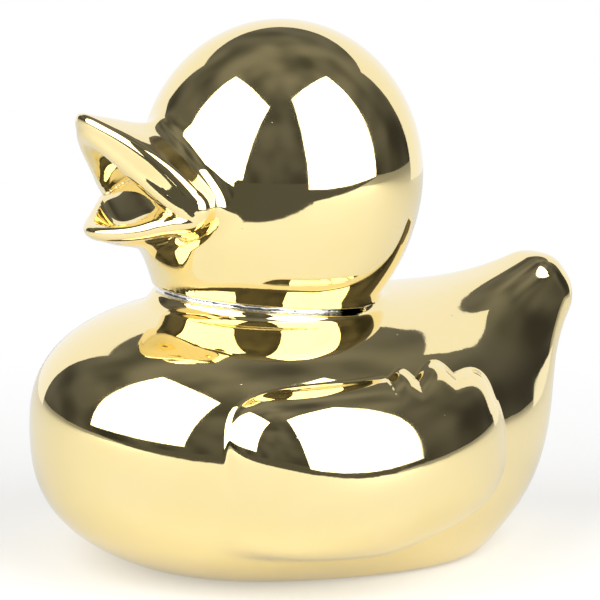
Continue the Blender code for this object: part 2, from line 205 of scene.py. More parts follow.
@dataclass(frozen=True)
class Body:
    """The body: a squarish egg, an upturned tail and the collar that meets the neck."""

    half_length: float = 46.2
    half_width: float = 37.4
    girth_height: float = 21.5
    rise: float = 25.1
    depth: float = 24.4
    back_squareness: float = 2.35
    belly_squareness: float = 2.4
    taper: float = 0.155
    back_slope: float = 0.07
    girth_blend: float = 4.0
    tail: RoundCone = RoundCone((12.7, 14.2), (50.0, 42.8), 19.0, 6.9, 3.0)
    tail_blend: float = 18.0
    collar_blend: float = 5.0
    base_rounding: float = 1.5

    def distance(self, p: Points, neck: Neck) -> np.ndarray:
        """Measure the distance to the body without its wings.

        Args:
            p: Points in the duck's frame.
            neck: The neck, for the collar under its rim.
        Returns:
            The distance of each point.
        """
        upper_share = 1 / (1 + np.exp(-(p[2] - self.girth_height) / self.girth_blend))
        narrowed = p[0] / (1 - self.taper * p[1] / self.half_length)
        over = p[2] - self.girth_height
        upper = superball((narrowed, p[1], over + self.back_slope * p[1]),
                          (self.half_width, self.half_length, self.rise),
                          self.back_squareness)
        lower = superball((narrowed, p[1], over),
                          (self.half_width, self.half_length, self.depth),
                          self.belly_squareness)
        egg = lower * (1 - upper_share) + upper * upper_share
        whole = smooth_union(egg, self.tail.distance(p), self.tail_blend)
        return smooth_union(whole, neck.cone(p, 0.0, neck.collar_root), self.collar_blend)


@dataclass(frozen=True)
class Wing:
    """A folded wing: a domed pad with a steeper top edge and feather lobes at its upper rear."""

    centre: Place = (-0.5, 21.4)
    half_length: float = 28.2
    half_height: float = 15.3
    squareness: float = 3.4
    squarer_top: float = 1.7
    squarer_front: float = 0.8
    relief: float = 4.7
    relief_rise: float = -1.5
    relief_back: float = -0.9
    sink: float = 0.5
    dome: float = 2.1
    steeper_top: float = 4.0
    steeper_blend: float = 0.3
    crease: float = 0.5
    soft_angle: float = 200.0
    soft_width: float = 15.0
    soft_blend: float = 3.5
    soft_start: float = 0.6
    soft_run: float = 0.35
    feathers: int = 3
    feather_depth: float = 0.06
    feather_start: float = 16.0
    feather_end: float = 84.0
    feather_root: float = 0.72
    least_slope: float = 0.001

    def outline(self, angle: np.ndarray) -> np.ndarray:
        """Return the plain outline's reach from the centre at each angle in the side view.

        Args:
            angle: Angles in radians, zero toward the tail and a quarter turn upward.
        Returns:
            The reach at each angle in millimetres.
        """
        power = (self.squareness + self.squarer_top * np.sin(angle)
                 - self.squarer_front * np.cos(angle))
        across = np.abs(np.cos(angle) / self.half_length) ** power
        upright = np.abs(np.sin(angle) / self.half_height) ** power
        return (across + upright) ** (-1 / power)

    def lobes(self, angle: np.ndarray) -> np.ndarray:
        """Return how far the feathers push the outline out at each angle, as a share.

        Args:
            angle: Angles in radians, as for the outline.
        Returns:
            The share of the reach that is added.
        """
        start = math.radians(self.feather_start)
        end = math.radians(self.feather_end)
        share = np.clip((angle - start) / (end - start), 0, 1)
        wave = np.abs(np.sin(share * math.pi * self.feathers))
        fade = np.sin(share * math.pi) ** 0.5
        return self.feather_depth * (wave - 0.5) * fade * 2

    def add_to(self, p: Points, body: np.ndarray) -> np.ndarray:
        """Join the wing to the body's field.

        Args:
            p: Points in the duck's frame, on the +X half.
            body: The body's distance at each point.
        Returns:
            The field with the wing.
        """
        back = p[1] - self.centre[0]
        up = p[2] - self.centre[1]
        angle = np.arctan2(up, back)
        reach = self.outline(angle)
        rho = np.sqrt(back ** 2 + up ** 2) / reach
        edge = np.clip((rho - self.feather_root) / (1 - self.feather_root), 0, 1)
        rho = rho / (1 + self.lobes(angle) * edge * edge * (3 - 2 * edge))
        height = np.maximum(body + self.sink, 0)
        total = (self.relief + self.sink
                 + self.relief_rise * np.clip(up / self.half_height, -1, 1)
                 + self.relief_back * np.clip(back / self.half_length, -1, 1))
        share = up / self.half_height
        dome = self.dome + self.steeper_top * (share + np.hypot(share, self.steeper_blend)) / 2
        level = (height / total) ** 2 + rho ** dome - 1
        slope = np.sqrt((2 * height / total ** 2) ** 2
                        + (dome * rho ** (dome - 1) / reach) ** 2)
        pad = level / np.maximum(slope, self.least_slope)
        pad = np.maximum(pad, -p[0])
        turn = np.degrees(angle) % 360
        near_edge = np.clip((rho - self.soft_start) / self.soft_run, 0, 1)
        soft = near_edge ** 2 * np.exp(-((turn - self.soft_angle) / self.soft_width) ** 2)
        return smooth_union(body, pad, self.crease + (self.soft_blend - self.crease) * soft)


@dataclass(frozen=True)
class Jaw:
    """One half of the bill: a plan that narrows to a rounded point, edged by a rounded lip."""

    root: Place
    rise: float
    length: float
    half_width: float
    lip_radius: float
    lip_side: float
    sag: float = 0.0
    point: float = 0.65
    nose: float = 2.0
    lip_behind: float = 3.0
    lip_fade: float = 4.0

    def local(self, p: Points) -> tuple[np.ndarray, np.ndarray]:
        """Return how far points lie ahead of the mouth's corners and above the rim.

        Args:
            p: Points in the duck's frame.
        Returns:
            How far ahead and how far above each point lies.
        """
        rise = math.radians(self.rise)
        back = p[1] - self.root[0]
        up = p[2] - self.root[1]
        ahead = up * math.sin(rise) - back * math.cos(rise)
        above = up * math.cos(rise) + back * math.sin(rise)
        share = np.clip(ahead / self.length, 0, 1)
        return ahead, above + self.sag * np.sin(math.pi * share)

    def plan(self, x: np.ndarray, ahead: np.ndarray,
             straight: float = -FAR) -> tuple[np.ndarray, np.ndarray]:
        """Measure the level of the plan's outline.

        Args:
            x: How far points lie to one side.
            ahead: How far they lie ahead of the mouth's corners.
            straight: Where, going back, the sides stop widening.
        Returns:
            The level, zero on the outline, and the size of its slope.
        """
        ahead = np.maximum(ahead, straight)
        wide = (x ** 2 + self.nose ** 2) / self.half_width ** 2
        power = 0.5 / self.point
        level = wide ** power + ahead / self.length - 1
        slope_x = 2 * power * x / self.half_width ** 2 * wide ** (power - 1)
        return level, np.sqrt(slope_x ** 2 + 1 / self.length ** 2)

    def lip(self, p: Points) -> np.ndarray:
        """Measure the distance to the lip's roll.

        Args:
            p: Points in the duck's frame.
        Returns:
            The distance of each point, less than zero inside.
        """
        ahead, above = self.local(p)
        level, slope = self.plan(p[0], ahead)
        beside = level / slope + self.lip_radius
        roll = np.sqrt(beside ** 2 + (above - self.lip_side * self.lip_radius) ** 2)
        return smooth_overlap(roll - self.lip_radius, -ahead - self.lip_behind, self.lip_fade)


@dataclass(frozen=True)
class Bill:
    """The wide open bill, its rounded lips, dished palate and tongue bed."""

    upper: Jaw = Jaw((-29.4, 64.2), 49.0, 18.6, 14.6, 1.4, 1.0, 0.3, nose=3.5)
    lower: Jaw = Jaw((-29.6, 63.6), -16.0, 10.2, 14.6, 1.3, -1.0, 0.6)
    top_height: float = 78.0
    top_rise: float = 0.22
    top_fall: float = 0.33
    top_bend: float = 0.035
    bend_start: float = 4.0
    fall_growth: float = 0.0012
    fall_start: float = -36.0
    ridge_width: float = 3.0
    wall_lean: float = 0.5
    wall_height: float = 5.0
    wall_inset: float = 1.0
    wall_straight: float = -3.0
    top_rounding: float = 2.0
    root_rounding: float = 6.0
    root_behind: float = 5.0
    lower_behind: float = 4.0
    scoop_depth: float = 6.8
    scoop_straight: float = -2.0
    lip_blend: float = 1.0
    lower_lip_blend: float = 0.8
    edge_rounding: float = 1.0
    palate_depth: float = 3.3
    palate_edge: float = 8.0
    palate_start: float = 1.5
    bed_depth: float = 2.0
    bed_edge: float = 5.0
    bed_start: float = 1.6
    mound_height: float = 4.2
    mound_width: float = 13.0
    mound_end: float = 1.2
    mound_fade: float = 1.1
    mouth_corner: float = 0.3
    mouth_scale: float = 0.75

    def upper_part(self, p: Points) -> np.ndarray:
        """Measure the distance to the upper half before the mouth is cut.

        Args:
            p: Points in the duck's frame.
        Returns:
            The distance of each point, less than zero inside.
        """
        ahead, above = self.upper.local(p)
        seen_length = self.upper.length * math.cos(math.radians(self.upper.rise))
        from_above = replace(self.upper, length=seen_length)
        forward = self.upper.root[0] - p[1]
        level, slope = from_above.plan(p[0], forward, self.wall_straight)
        climb = self.top_rise * forward
        fall = self.top_fall + self.fall_growth * np.maximum(p[1] - self.fall_start, 0) ** 2
        aside = np.sqrt(p[0] ** 2 + self.ridge_width ** 2) - self.ridge_width
        bent = np.maximum(aside - self.bend_start, 0)
        top = p[2] - self.top_height - climb + fall * aside + self.top_bend * bent ** 2
        fall = fall + 2 * self.top_bend * bent
        top = top / np.sqrt(1 + self.top_rise ** 2 + fall ** 2)
        side = level / slope + self.wall_inset
        side = side - self.wall_lean * self.wall_height * np.tanh(above / self.wall_height)
        block = smooth_overlap(top, side, self.top_rounding)
        block = smooth_overlap(block, -above, self.edge_rounding)
        block = smooth_overlap(block, -ahead - self.root_behind, self.root_rounding)
        return smooth_union(block, self.upper.lip(p), self.lip_blend)

    def lower_part(self, p: Points) -> np.ndarray:
        """Measure the distance to the lower half before the mouth is cut.

        Args:
            p: Points in the duck's frame.
        Returns:
            The distance of each point, less than zero inside.
        """
        ahead, above = self.lower.local(p)
        level, slope = self.lower.plan(p[0], ahead, self.scoop_straight)
        deep = (above / self.scoop_depth) ** 2 + level
        scoop = deep / np.sqrt(slope ** 2 + (2 * above / self.scoop_depth ** 2) ** 2)
        scoop = smooth_overlap(scoop, -ahead - self.lower_behind, self.root_rounding)
        return smooth_union(scoop, self.lower.lip(p), self.lower_lip_blend)

    def roof(self, p: Points) -> np.ndarray:
        """Measure how far points lie above the palate.

        Args:
            p: Points in the duck's frame.
        Returns:
            The height of each point over the palate.
        """
        ahead, above = self.upper.local(p)
        level, slope = self.upper.plan(p[0], ahead)
        inside = -(level / slope + self.palate_start * self.upper.lip_radius) / self.palate_edge
        dish = self.palate_depth * (1 - (1 - np.clip(inside, 0, 1)) ** 2)
        return above - dish

    def floor(self, p: Points) -> np.ndarray:
        """Measure how far points lie below the tongue bed.

        Args:
            p: Points in the duck's frame.
        Returns:
            The depth of each point under the bed.
        """
        ahead, above = self.lower.local(p)
        level, slope = self.lower.plan(p[0], ahead)
        inside = -(level / slope + self.bed_start * self.lower.lip_radius) / self.bed_edge
        front = 1 / (1 + np.exp(-(ahead - self.mound_end) / self.mound_fade))
        dish = self.bed_depth * (1 - (1 - np.clip(inside, 0, 1)) ** 2) * front
        rise = self.mound_height * (1 - front) * np.maximum(1 - (p[0] / self.mound_width) ** 2, 0)
        return rise - dish - above

    def mouth(self, p: Points) -> np.ndarray:
        """Measure the distance to the gap between the palate and the tongue bed."""
        return smooth_overlap(self.roof(p), self.floor(p), self.mouth_corner) * self.mouth_scale


@dataclass(frozen=True)
class Head:
    """The head, its neck and its bill."""

    centre: Place = (-1.6, 67.5)
    half_width: float = 24.7
    half_height: float = 26.8
    neck_blend: float = 6.0
    neck_top: float = 15.0
    neck_bottom: float = 8.0
    bill: Bill = Bill()
    bill_blend: float = 4.0
    chin_blend: float = 6.0
    lip_rounding: float = 1.2

    def distance(self, p: Points, neck: Neck) -> np.ndarray:
        """Measure the distance to the head with its neck and open bill.

        Args:
            p: Points in the duck's frame.
            neck: The neck under the head.
        Returns:
            The distance of each point, less than zero inside.
        """
        ball = superball((p[0], p[1] - self.centre[0], p[2] - self.centre[1]),
                         (self.half_width, self.half_width, self.half_height))
        whole = smooth_union(ball, neck.cone(p, self.neck_top, self.neck_bottom), self.neck_blend)
        whole = smooth_union(whole, self.bill.lower_part(p), self.chin_blend)
        whole = smooth_union(whole, self.bill.upper_part(p), self.bill_blend)
        return smooth_overlap(whole, -self.bill.mouth(p), self.lip_rounding)


@dataclass(frozen=True)
class Vent:
    """The vent in the flat base."""

    back: float = 13.0
    radius: float = 3.0
    depth: float = 9.0
    end_rounding: float = 1.0

    def distance(self, p: Points) -> np.ndarray:
        """Measure the distance to the vent's hole."""
        across = np.sqrt(p[0] ** 2 + (p[1] - self.back) ** 2) - self.radius
        return smooth_overlap(across, p[2] - self.depth, self.end_rounding)


@dataclass
class DuckSkin:
    """The whole outer skin of the duck, as one field and one mesh."""

    body: Body = field(default_factory=Body)
    neck: Neck = field(default_factory=Neck)
    wing: Wing = field(default_factory=Wing)
    head: Head = field(default_factory=Head)
    vent: Vent = field(default_factory=Vent)
    seat_blend: float = 2.5
    groove_rounding: float = 0.35
    vent_rounding: float = 0.6
    low: tuple[float, float, float] = (0.0, -50.0, -1.5)
    high: tuple[float, float, float] = (43.0, 62.0, 98.0)
    cell: float = 0.32
    quick_cell: float = 0.64
    half_triangles: int = 92000
    fit_rounds: int = 4
    fit_reach: float = 0.15
    fit_least: float = 0.05

    def distance(self, p: Points) -> np.ndarray:
        """Measure the distance to the duck's skin.

        Args:
            p: Points in the duck's frame in millimetres, with x at zero or more.
        Returns:
            The distance of each point, less than zero inside.
        """
        body = self.wing.add_to(p, self.body.distance(p, self.neck))
        whole = smooth_union(body, self.head.distance(p, self.neck), self.seat_blend)
        whole = smooth_overlap(whole, -self.neck.groove(p), self.groove_rounding)
        whole = smooth_overlap(whole, -p[2], self.body.base_rounding)
        return smooth_overlap(whole, -self.vent.distance(p), self.vent_rounding)

    def distance_at(self, places: np.ndarray) -> np.ndarray:
        """Return the distance at places given one to a row, on either side of the middle."""
        return self.distance((np.abs(places[:, 0]), places[:, 1], places[:, 2]))

    def slope_at(self, places: np.ndarray, step: float = 0.02) -> np.ndarray:
        """Return the field's slope at each place.

        Args:
            places: Points, one to a row, in millimetres.
            step: Half the span over which the slope is measured.
        Returns:
            The slope vectors.
        """
        slope = np.empty_like(places)
        for axis in range(3):
            shift = np.zeros(3)
            shift[axis] = step
            slope[:, axis] = self.distance_at(places + shift) - self.distance_at(places - shift)
        return slope / (2 * step)

    def settle(self, places: np.ndarray, middle: np.ndarray) -> np.ndarray:
        """Move vertices onto the field's surface.

        Args:
            places: Vertices in millimetres.
            middle: Which of them stay in the middle plane.
        Returns:
            The moved vertices.
        """
        for _ in range(self.fit_rounds):
            slope = self.slope_at(places)
            size = np.maximum((slope ** 2).sum(1), self.fit_least)
            step = -self.distance_at(places)[:, None] * slope / size[:, None]
            length = np.maximum(np.linalg.norm(step, axis=1), TINY)
            places = places + step * np.minimum(1, self.fit_reach / length)[:, None]
            places[middle, 0] = 0.0
            places[:, 2] = np.maximum(places[:, 2], 0.0)
        return places

    def build(self) -> bpy.types.Object:
        """Build the skin as one closed mesh with the field's own normals.

        Returns:
            The new object.
        """
        half = SkinMesh.from_field(self).thinned(self.half_triangles)
        places = self.settle(half.vertices, half.middle)
        slope = self.slope_at(places)
        normal = slope / np.maximum(np.linalg.norm(slope, axis=1), TINY)[:, None]
        normal[half.middle, 0] = 0.0
        beside = ~half.middle
        flip = np.array([-1.0, 1.0, 1.0])
        other = np.arange(len(places))
        other[beside] = len(places) + np.arange(beside.sum())
        vertices = np.concatenate([places, places[beside] * flip])
        normals = np.concatenate([normal, normal[beside] * flip])
        faces = np.concatenate([half.faces, other[half.faces][:, ::-1]])
        mesh = bpy.data.meshes.new("duck_skin")
        mesh.from_pydata((vertices * MM).tolist(), [], faces.tolist())
        mesh.shade_smooth()
        mesh.normals_split_custom_set_from_vertices(normals.tolist())
        piece = bpy.data.objects.new("duck_skin", mesh)
        bpy.context.scene.collection.objects.link(piece)
        return piece

    def dress(self, piece: bpy.types.Object, plating: "GoldPlating") -> None:
        """Plate the skin, hide the duck_shell part and hang the skin on the root body.

        Args:
            piece: The skin's object.
            plating: The finish.
        """
        piece.data.materials.append(plating.material(self.neck))
        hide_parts("duck_shell")
        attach(piece, "root")


@dataclass
class SkinMesh:
    """Vertices and faces of the +X half of the skin, in millimetres."""

    vertices: np.ndarray
    faces: np.ndarray
    middle: np.ndarray

    @classmethod
    def from_field(cls, skin: DuckSkin) -> "SkinMesh":
        """Mesh a field by dual contouring of its sign changes.

        Args:
            skin: The duck's skin.
        Returns:
            The half mesh.
        """
        cell = skin.cell
        values, origin = cls._sample(skin, cell)
        inside = values < 0
        shape = tuple(size - 1 for size in values.shape)
        count = np.zeros(shape, np.int8)
        corners = [(a, b, c) for a in (0, 1) for b in (0, 1) for c in (0, 1)]
        for a, b, c in corners:
            count += inside[a:shape[0] + a, b:shape[1] + b, c:shape[2] + c]
        active = (count > 0) & (count < len(corners))
        cells = np.argwhere(active)
        number = np.full(shape, -1, np.int64)
        number[active] = np.arange(len(cells))
        total = np.zeros((len(cells), 3))
        crossings = np.zeros(len(cells))
        for i, first in enumerate(corners):
            for second in corners[i + 1:]:
                if sum(abs(a - b) for a, b in zip(first, second)) != 1:
                    continue
                here = values[tuple((cells + first).T)].astype(float)
                there = values[tuple((cells + second).T)].astype(float)
                crossed = (here < 0) != (there < 0)
                share = np.where(crossed, here / np.where(crossed, here - there, 1), 0)
                place = np.array(first) + share[:, None] * (np.array(second) - np.array(first))
                total += np.where(crossed[:, None], place, 0)
                crossings += crossed
        vertices = origin + (cells + total / crossings[:, None]) * cell
        middle = cells[:, 0] == 0
        vertices[middle, 0] = 0.0
        return cls(vertices, cls._faces(inside, number), middle)

    @staticmethod
    def _sample(skin: DuckSkin, cell: float) -> tuple[np.ndarray, np.ndarray]:
        """Sample the field on a grid, finely only near its surface.

        Args:
            skin: The duck's skin.
            cell: The grid's step.
        Returns:
            The values, and the place of the grid's first point.
        """
        block = 6
        reach = 1.9
        batch = 4000
        origin = np.array([-cell / 2, skin.low[1], skin.low[2]])
        sizes = [int((high - low) / cell / block) + 2 for low, high in zip(origin, skin.high)]
        axes = [origin[k] + (np.arange(sizes[k]) * block + (block - 1) / 2) * cell
                for k in range(3)]
        grid = np.meshgrid(*axes, indexing="ij")
        rough = skin.distance((np.abs(grid[0]), grid[1], grid[2])).astype(np.float32)
        near = np.abs(rough) < block * cell * reach
        values = rough.repeat(block, 0).repeat(block, 1).repeat(block, 2)
        blocks = np.argwhere(near) * block
        local = np.stack(np.meshgrid(*[np.arange(block)] * 3, indexing="ij"), -1).reshape(-1, 3)
        for start in range(0, len(blocks), batch):
            index = (blocks[start:start + batch, None, :] + local[None]).reshape(-1, 3)
            values[tuple(index.T)] = skin.distance_at(origin + index * cell)
        return values, origin

    @staticmethod
    def _faces(inside: np.ndarray, number: np.ndarray) -> np.ndarray:
        """Join the cells round each grid edge that the surface crosses.

        Args:
            inside: Whether each grid point is inside.
            number: The vertex number of each cell, or -1.
        Returns:
            Quads of vertex numbers, facing out.
        """
        quads = []
        for axis in range(3):
            order = (axis, (axis + 1) % 3, (axis + 2) % 3)
            sign = np.transpose(inside, order)
            index = np.transpose(number, order)
            edges = np.argwhere(sign[:-1, 1:-1, 1:-1] != sign[1:, 1:-1, 1:-1])
            i, j, k = edges[:, 0], edges[:, 1] + 1, edges[:, 2] + 1
            quad = np.stack([index[i, j - 1, k - 1], index[i, j, k - 1],
                             index[i, j, k], index[i, j - 1, k]], 1)
            flip = ~sign[i, j, k]
            quad[flip] = quad[flip][:, ::-1]
            quads.append(quad)
        joined = np.concatenate(quads)
        return joined[(joined >= 0).all(1)]

    def thinned(self, triangles: int, middle_width: float = 0.02) -> "SkinMesh":
        """Decimate the mesh.

        Args:
            triangles: About how many triangles are left.
            middle_width: How near the middle plane a vertex counts as in it.
        Returns:
            The thinner mesh, of triangles.
        """
        data = bpy.data.meshes.new("half")
        data.from_pydata((self.vertices * MM).tolist(), [], self.faces.tolist())
        draft = bpy.data.objects.new("half", data)
        bpy.context.scene.collection.objects.link(draft)
        thin = draft.modifiers.new("thin", "DECIMATE")
        thin.ratio = min(1.0, triangles / (2 * len(self.faces)))
        graph = bpy.context.evaluated_depsgraph_get()
        made = bpy.data.meshes.new_from_object(draft.evaluated_get(graph))
        places = np.empty(len(made.vertices) * 3)
        made.vertices.foreach_get("co", places)
        places = places.reshape(-1, 3) / MM
        middle = places[:, 0] < middle_width
        places[middle, 0] = 0.0
        made.calc_loop_triangles()
        faces = np.array([tuple(face.vertices) for face in made.loop_triangles], np.int64)
        bpy.data.objects.remove(draft)
        return SkinMesh(places, faces, middle)


class NodeKit:
    """Short ways to add nodes to a material's tree."""

    def __init__(self, tree: bpy.types.NodeTree) -> None:
        """Keep the tree that nodes are added to."""
        self.tree = tree

    def add(self, kind: str, **settings: object) -> bpy.types.Node:
        """Add a node and set its properties.

        Args:
            kind: The node's type.
            settings: Properties by name.
        Returns:
            The node.
        """
        node = self.tree.nodes.new(kind)
        for name, value in settings.items():
            setattr(node, name, value)
        return node

    def feed(self, socket: bpy.types.NodeSocket, value: object) -> None:
        """Link a socket to another socket, or set it to a constant.

        Args:
            socket: The input.
            value: The socket or constant that feeds it.
        """
        if isinstance(value, bpy.types.NodeSocket):
            self.tree.links.new(value, socket)
        else:
            socket.default_value = value

    def math(self, operation: str, *values: object) -> bpy.types.NodeSocket:
        """Add a maths node fed by sockets or numbers, and return its result.

        Args:
            operation: The sum that it does.
            values: Its inputs in order.
        Returns:
            The result's socket.
        """
        node = self.add("ShaderNodeMath", operation=operation)
        for socket, value in zip(node.inputs, values):
            self.feed(socket, value)
        return node.outputs[0]

    def ramp(self, value: object, low: float, high: float, start: float = 0.0,
             end: float = 1.0) -> bpy.types.NodeSocket:
        """Map a value smoothly from one range to another.

        Args:
            value: The socket to map.
            low: The value at which the result is at its start.
            high: The value at which the result is at its end.
            start: The result at the low value.
            end: The result at the high value.
        Returns:
            The mapped socket.
        """
        node = self.add("ShaderNodeMapRange", interpolation_type="SMOOTHSTEP")
        for name, given in (("Value", value), ("From Min", low), ("From Max", high),
                            ("To Min", start), ("To Max", end)):
            self.feed(node.inputs[name], given)
        return node.outputs["Result"]

    def noise(self, place: bpy.types.NodeSocket, size: float, detail: float) -> bpy.types.NodeSocket:
        """Add a noise pattern.

        Args:
            place: Where it is read.
            size: The size of its patches in millimetres.
            detail: How many finer layers it has.
        Returns:
            Its value, from 0 to 1.
        """
        node = self.add("ShaderNodeTexNoise")
        self.feed(node.inputs["Vector"], place)
        self.feed(node.inputs["Scale"], 1 / (size * MM))
        self.feed(node.inputs["Detail"], detail)
        return node.outputs["Fac"]

    def mix(self, share: object, first: object, second: object) -> bpy.types.NodeSocket:
        """Mix two colours and return the result.

        Args:
            share: How much of the second colour there is, from 0 to 1.
            first: One colour.
            second: The other colour.
        Returns:
            The mixed colour's socket.
        """
        node = self.add("ShaderNodeMix", data_type="RGBA")
        self.feed(node.inputs["Factor"], share)
        self.feed(node.inputs[6], first)
        self.feed(node.inputs[7], second)
        return node.outputs[2]

    def mix_shaders(self, share: object, first: bpy.types.Node,
                    second: bpy.types.Node) -> bpy.types.Node:
        """Mix two shaders.

        Args:
            share: How much of the second shader there is, from 0 to 1.
            first: One shader's node.
            second: The other shader's node.
        Returns:
            The mixing node.
        """
        node = self.add("ShaderNodeMixShader")
        self.feed(node.inputs["Fac"], share)
        self.feed(node.inputs[1], first.outputs[0])
        self.feed(node.inputs[2], second.outputs[0])
        return node

    def glow(self, level: object) -> bpy.types.Node:
        """Add a white glow of the strength given by a number or a socket."""
        node = self.add("ShaderNodeEmission")
        self.feed(node.inputs["Strength"], level)
        return node

    def seen_by_camera(self) -> bpy.types.NodeSocket:
        """Return 1 for rays from the camera, also those that pass through something clear."""
        path = self.add("ShaderNodeLightPath")
        return self.math("MAXIMUM", path.outputs["Is Camera Ray"],
                         path.outputs["Is Transmission Ray"])


@dataclass(frozen=True)
class GoldPlating:
    """The gold-tinted mirror plating, with faint waviness, haze, dust specks and a bare groove."""

    colour: tuple[float, float, float, float] = (1.0, 0.83, 0.42, 1.0)
    deep_colour: tuple[float, float, float, float] = (0.99, 0.82, 0.39, 1.0)
    bare_colour: tuple[float, float, float, float] = (0.86, 0.87, 0.88, 1.0)
    dust_colour: tuple[float, float, float, float] = (0.62, 0.60, 0.52, 1.0)
    roughness: float = 0.035
    hazy_roughness: float = 0.075
    coat: float = 0.6
    coat_roughness: float = 0.03
    tint_size: float = 16.0
    tint_range: tuple[float, float] = (0.35, 0.65)
    haze_size: float = 9.0
    haze_range: tuple[float, float] = (0.45, 0.8)
    bare_height: tuple[float, float] = (0.85, 1.15)
    bare_over_rim: float = 0.5
    bare_fade: float = 0.3
    wave_size: float = 7.0
    wave_height: float = 0.03
    peel_size: float = 1.1
    peel_height: float = 0.0022
    speck_spacing: float = 4.2
    speck_radius: float = 0.16
    speck_core: float = 0.5
    speck_patch_size: float = 12.0
    speck_patch_range: tuple[float, float] = (0.5, 0.56)
    speck_roughness: float = 0.4
    speck_height: float = 0.02

    def material(self, neck: Neck) -> bpy.types.Material:
        """Make the plating's material.

        Args:
            neck: The neck, whose groove shows less tinted plating.
        Returns:
            The material.
        """
        made = bpy.data.materials.new("gold_plating")
        made.use_nodes = True
        kit = NodeKit(made.node_tree)
        shader = made.node_tree.nodes["Principled BSDF"]
        place = kit.add("ShaderNodeTexCoord").outputs["Object"]
        patches = kit.ramp(kit.noise(place, self.tint_size, 2.0), *self.tint_range)
        tint = kit.mix(patches, self.colour, self.deep_colour)
        tint = kit.mix(self.groove_share(kit, place, neck), tint, self.bare_colour)
        specks = self.speck_share(kit, place)
        tint = kit.mix(specks, tint, self.dust_colour)
        kit.feed(shader.inputs["Base Color"], tint)
        haze = kit.ramp(kit.noise(place, self.haze_size, 4.0), *self.haze_range,
                        self.roughness, self.hazy_roughness)
        dust = kit.math("MULTIPLY", specks, self.speck_roughness)
        kit.feed(shader.inputs["Roughness"], kit.math("ADD", haze, dust))
        kit.feed(shader.inputs["Metallic"], 1.0)
        kit.feed(shader.inputs["Coat Weight"], self.coat)
        kit.feed(shader.inputs["Coat Roughness"], self.coat_roughness)
        kit.feed(shader.inputs["Normal"], self.relief(kit, place, specks))
        return made

    def groove_share(self, kit: NodeKit, place: bpy.types.NodeSocket,
                     neck: Neck) -> bpy.types.NodeSocket:
        """Return where the plating in the neck's groove is bare, from 0 to 1.

        Args:
            kit: The node kit of the plating's tree.
            place: Where the skin is, in metres.
            neck: The neck with the groove.
        Returns:
            The share's socket.
        """
        tilt = math.radians(neck.tilt)
        rim = kit.add("ShaderNodeVectorMath", operation="SUBTRACT")
        kit.feed(rim.inputs[0], place)
        kit.feed(rim.inputs[1], (0, neck.rim_centre[0] * MM, neck.rim_centre[1] * MM))
        turn = kit.add("ShaderNodeVectorRotate", rotation_type="X_AXIS")
        kit.feed(turn.inputs["Vector"], rim.outputs[0])
        kit.feed(turn.inputs["Angle"], tilt)
        split = kit.add("ShaderNodeSeparateXYZ")
        kit.feed(split.inputs[0], turn.outputs[0])
        height = kit.math("ABSOLUTE", split.outputs["Z"])
        inner = neck.groove_half_width * MM
        low, high = self.bare_height
        narrow = kit.ramp(height, inner * low, inner * high, 1.0, 0.0)
        squares = kit.math("ADD", kit.math("POWER", split.outputs["X"], 2.0),
                           kit.math("POWER", split.outputs["Y"], 2.0))
        across = kit.math("POWER", squares, 0.5)
        edge = (neck.rim_radius + self.bare_over_rim) * MM
        deep = kit.ramp(across, edge, edge + self.bare_fade * MM, 1.0, 0.0)
        return kit.math("MULTIPLY", narrow, deep)

    def speck_share(self, kit: NodeKit, place: bpy.types.NodeSocket) -> bpy.types.NodeSocket:
        """Return where small dust specks lie, from 0 to 1.

        Args:
            kit: The node kit of the plating's tree.
            place: Where the skin is, in metres.
        Returns:
            The share's socket.
        """
        cells = kit.add("ShaderNodeTexVoronoi")
        kit.feed(cells.inputs["Vector"], place)
        kit.feed(cells.inputs["Scale"], 1 / (self.speck_spacing * MM))
        reach = self.speck_radius / self.speck_spacing
        dot = kit.ramp(cells.outputs["Distance"], reach * self.speck_core, reach, 1.0, 0.0)
        patches = kit.noise(place, self.speck_patch_size, 1.0)
        return kit.math("MULTIPLY", dot, kit.ramp(patches, *self.speck_patch_range))

    def relief(self, kit: NodeKit, place: bpy.types.NodeSocket,
               specks: bpy.types.NodeSocket) -> bpy.types.NodeSocket:
        """Return the normal with the plating's waviness, orange peel and specks.

        Args:
            kit: The node kit of the plating's tree.
            place: Where the skin is, in metres.
            specks: Where the dust specks lie.
        Returns:
            The normal's socket.
        """
        wave = kit.math("MULTIPLY", kit.noise(place, self.wave_size, 1.0), self.wave_height)
        peel = kit.math("MULTIPLY", kit.noise(place, self.peel_size, 2.0), self.peel_height)
        bump = kit.add("ShaderNodeBump")
        kit.feed(bump.inputs["Strength"], 1.0)
        kit.feed(bump.inputs["Distance"], MM)
        dust = kit.math("MULTIPLY", specks, self.speck_height)
        kit.feed(bump.inputs["Height"], kit.math("ADD", kit.math("ADD", wave, peel), dust))
        return bump.outputs[0]


def new_material(name: str) -> tuple[bpy.types.Material, NodeKit]:
    """Make an empty node material.

    Args:
        name: The material's name.
    Returns:
        The material and the node kit of its tree.
    """
    made = bpy.data.materials.new(name)
    made.use_nodes = True
    made.node_tree.nodes.clear()
    return made, NodeKit(made.node_tree)


def emission_material(name: str, level: float) -> bpy.types.Material:
    """Make a plain glowing material.

    Args:
        name: The material's name.
        level: Its strength, where 1 shows as white.
    Returns:
        The material.
    """
    made, kit = new_material(name)
    out = kit.add("ShaderNodeOutputMaterial")
    kit.feed(out.inputs["Surface"], kit.glow(level).outputs[0])
    return made


class Seen(Enum):
    """Which rays see a piece of the studio."""

    BY_ALL = "all"
    NOT_BY_CAMERA = "not camera"


@dataclass(frozen=True)
class SoftBox:
    """A soft box as the duck sees it: four corners by azimuth from the camera and elevation."""

    name: str
    corners: tuple[Place, Place, Place, Place]
    distance: float = 700.0
    level: float = 3.0


